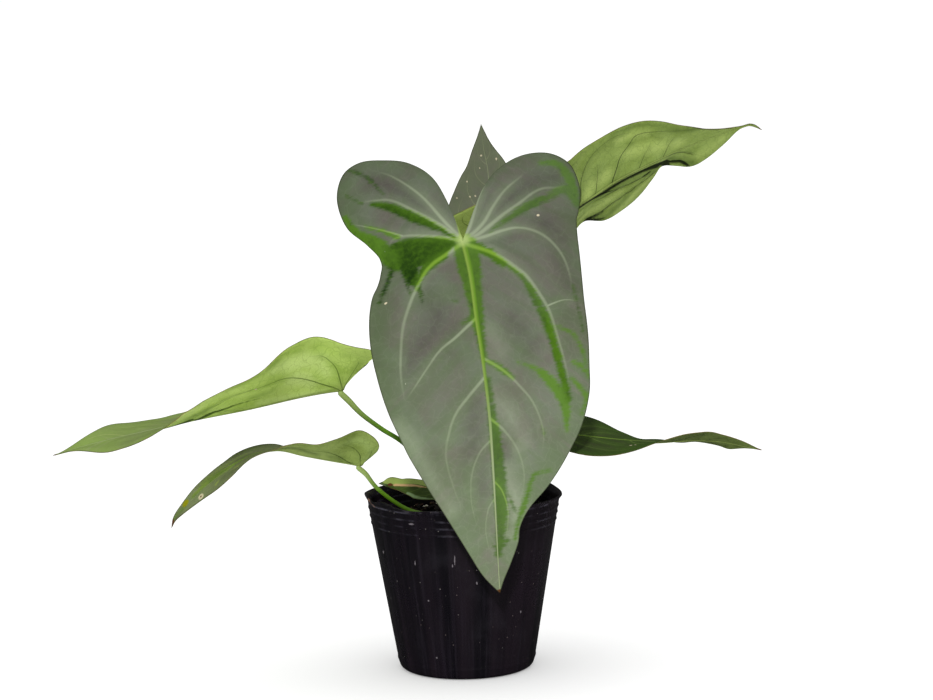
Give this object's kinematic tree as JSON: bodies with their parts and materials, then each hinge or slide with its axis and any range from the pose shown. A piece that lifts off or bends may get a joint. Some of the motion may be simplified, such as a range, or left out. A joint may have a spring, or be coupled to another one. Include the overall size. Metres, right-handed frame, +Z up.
{
  "type": "potted anthurium hybrid",
  "caption": "Young anthurium hybrid with large heart-shaped veined leaves on long stalks, growing in a ribbed black nursery pot filled with potting mix.",
  "frame": {"origin": "centre of the pot's flat underside", "axes": "+Z up, the big front leaf looks along -Y, +X to the right seen from the front"},
  "size_m": [0.4349, 0.1485, 0.3316],
  "materials": {
    "pot": "thin black polypropylene with a slight sheen and fine dust",
    "soil": "loose dark bark and coir mix with perlite",
    "crown": "dull green and brown living stem",
    "bract": "dry papery brown",
    "leaf": "leathery leaf, satin above and matt pale green below",
    "stalk": "smooth green stalk, paler at the knee"
  },
  "bodies": {
    "root": {"pot": "pot", "soil": "soil", "crown": "crown", "bract_1": "bract", "bract_2": "bract", "bract_3": "bract", "leaf_front": "leaf", "stalk_front": "stalk", "leaf_left_upper": "leaf", "stalk_left_upper": "stalk", "leaf_left_lower": "leaf", "stalk_left_lower": "stalk", "leaf_right_upper": "leaf", "stalk_right_upper": "stalk", "leaf_right_lower": "leaf", "stalk_right_lower": "stalk", "leaf_back": "leaf", "stalk_back": "stalk", "leaf_small": "leaf", "stalk_small": "stalk"}
  },
  "joints": []
}
